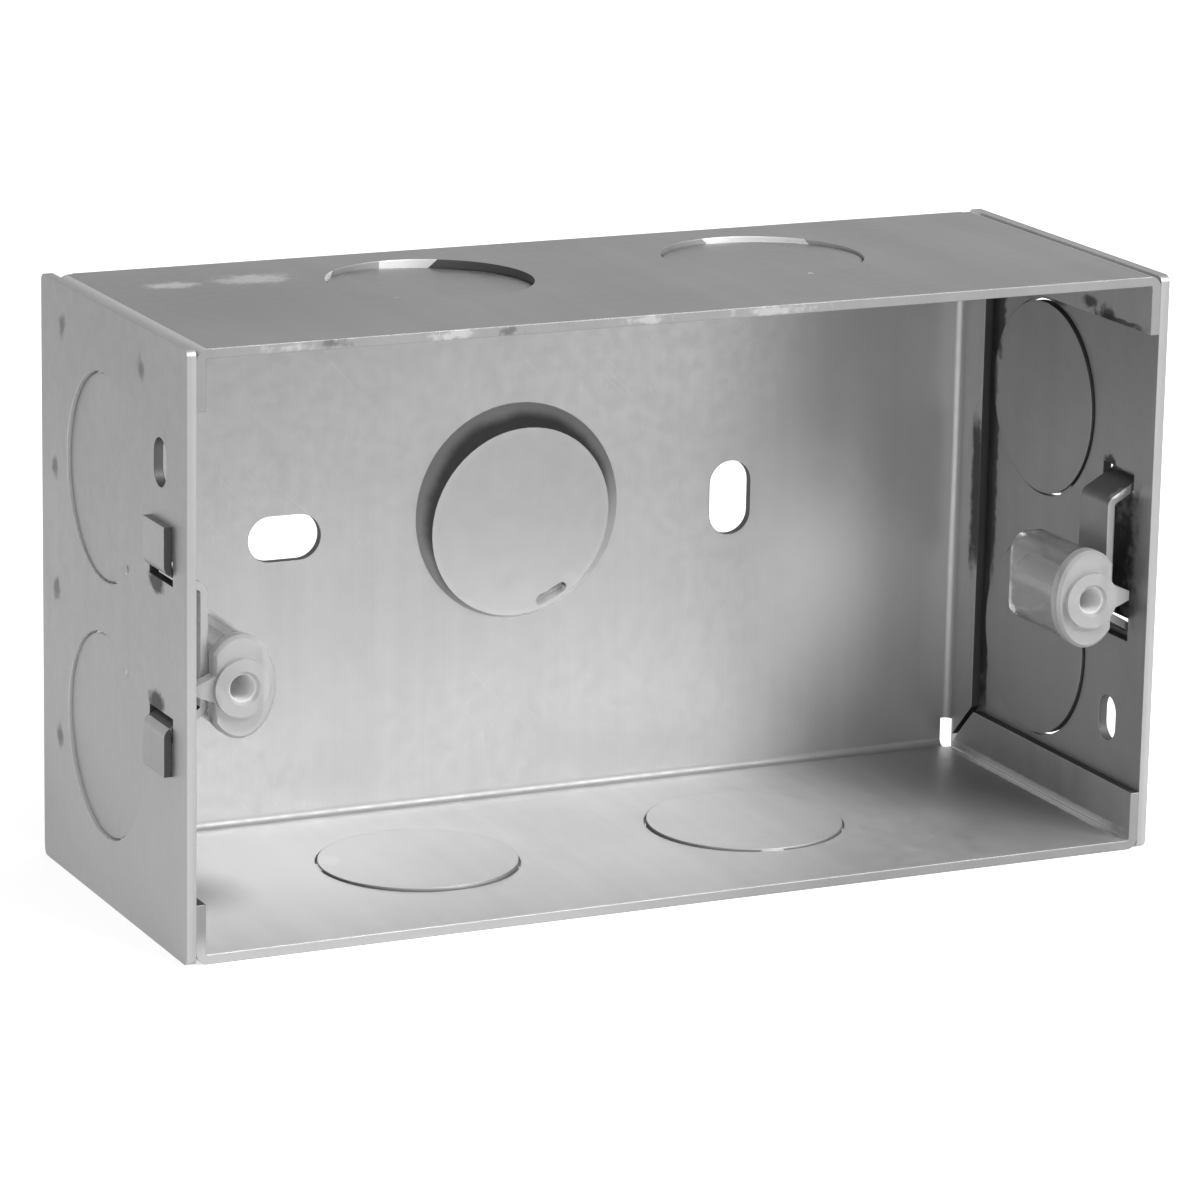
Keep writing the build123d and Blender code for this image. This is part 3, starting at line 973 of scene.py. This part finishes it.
# %% Floor
def seen_share(tree):
    """1 for rays that show a background: from the camera, in a reflection or through plastic."""
    path = add(tree, "ShaderNodeLightPath")
    seen = reckon(tree, "MAXIMUM", path.outputs["Is Camera Ray"], path.outputs["Is Glossy Ray"])
    return reckon(tree, "MAXIMUM", seen, path.outputs["Is Transmission Ray"])


FLOOR_HALF = 4.0
FLOOR_DROP = 0.05 * MM
FLOOR_TONE = 0.9
FLOOR_ROUGHNESS = 0.9
FLOOR_GLOW = 0.60
CORNERS = ((-1, -1), (1, -1), (1, 1), (-1, 1))
floor_mesh = bpy.data.meshes.new("floor")
floor_places = [(x * FLOOR_HALF, y * FLOOR_HALF, -FLOOR_DROP) for x, y in CORNERS]
floor_mesh.from_pydata(floor_places, [], [(0, 1, 2, 3)])
floor = bpy.data.objects.new("floor", floor_mesh)
bpy.context.scene.collection.objects.link(floor)

floor_paper, tree, shader = new_material("floor_paper")
shader.inputs["Base Color"].default_value = grey(FLOOR_TONE)
shader.inputs["Roughness"].default_value = FLOOR_ROUGHNESS
shader.inputs["Specular IOR Level"].default_value = 0.0
shader.inputs["Emission Color"].default_value = grey(1.0)
put(tree, shader.inputs["Emission Strength"], reckon(tree, "MULTIPLY", seen_share(tree), FLOOR_GLOW))
facing = add(tree, "ShaderNodeNewGeometry")
put(tree, shader.inputs["Alpha"], reckon(tree, "SUBTRACT", 1.0, facing.outputs["Backfacing"]))
floor_mesh.materials.append(floor_paper)
print("floor:", floor.name, "with", floor_paper.name)

# %% [markdown]
# ## Surroundings
# The surroundings are white where they are seen, and light the box at a plain level. A photographed
# studio could be used instead, but an even white is what a box on a white page reflects.

# %% Surroundings
PLAIN_LIGHT = 0.5
surroundings = bpy.data.worlds.new("surroundings")
bpy.context.scene.world = surroundings
surroundings.use_nodes = True
tree = surroundings.node_tree
background = tree.nodes["Background"]
background.inputs["Color"].default_value = grey(1.0)
extra = reckon(tree, "MULTIPLY", seen_share(tree), 1.0 - PLAIN_LIGHT)
put(tree, background.inputs["Strength"], reckon(tree, "ADD", extra, PLAIN_LIGHT))
print("surroundings:", surroundings.name, "light the box at", PLAIN_LIGHT)

# %% [markdown]
# ## Studio light
# One large soft light stands in front of the box, up on the right. It shines past the right plate and
# under the top, so it reaches the lower left of the inside most, and the right plate stays dark. A small
# lamp would do the same with hard shadows. The place and the size of the light are in metres.

# %% Studio light
KEY_PLACE = Vector((0.46, -0.80, 0.81))
KEY_AIM = Vector((0.0, 0.0, MIDDLE * MM))
KEY_SIZE = 0.5
KEY_POWER = 11.5
key_lamp = bpy.data.lights.new("key", "AREA")
key_lamp.size = KEY_SIZE
key_lamp.energy = KEY_POWER
key = bpy.data.objects.new("key", key_lamp)
key.location = KEY_PLACE
key.rotation_mode = "QUATERNION"
key.rotation_quaternion = (KEY_AIM - KEY_PLACE).to_track_quat("-Z", "Y")
bpy.context.scene.collection.objects.link(key)
print("light:", key.name, "at", [round(value, 2) for value in key.location])

# %% [markdown]
# ## Camera
# The picture was taken from the left and a little above, from about 0.7 m away with a long lens. A
# Track To constraint could aim the camera, but would keep it level. So it is turned by its direction and
# then rolled by a degree.

# %% Camera
LENS = 168.2
LOOK_RIGHT = math.radians(25.45)
LOOK_DOWN = math.radians(14.37)
ROLL = math.radians(1.07)
CAMERA_PLACE = Vector((-295.6, -620.0, 209.0)) * MM
SEEN_FROM = 0.01
SEEN_TO = 20.0

level_ahead = Vector((math.sin(LOOK_RIGHT), math.cos(LOOK_RIGHT), 0.0))
ahead = level_ahead * math.cos(LOOK_DOWN) - Vector((0.0, 0.0, math.sin(LOOK_DOWN)))
camera_data = bpy.data.cameras.new("camera")
camera_data.lens = LENS
camera_data.clip_start = SEEN_FROM
camera_data.clip_end = SEEN_TO
camera = bpy.data.objects.new("camera", camera_data)
camera.location = CAMERA_PLACE
camera.rotation_mode = "QUATERNION"
camera.rotation_quaternion = ahead.to_track_quat("-Z", "Y") @ Quaternion((0.0, 0.0, 1.0), ROLL)
bpy.context.scene.collection.objects.link(camera)
bpy.context.scene.camera = camera
bpy.context.scene.view_settings.view_transform = "Standard"
print("camera looks along", [round(value, 3) for value in ahead])
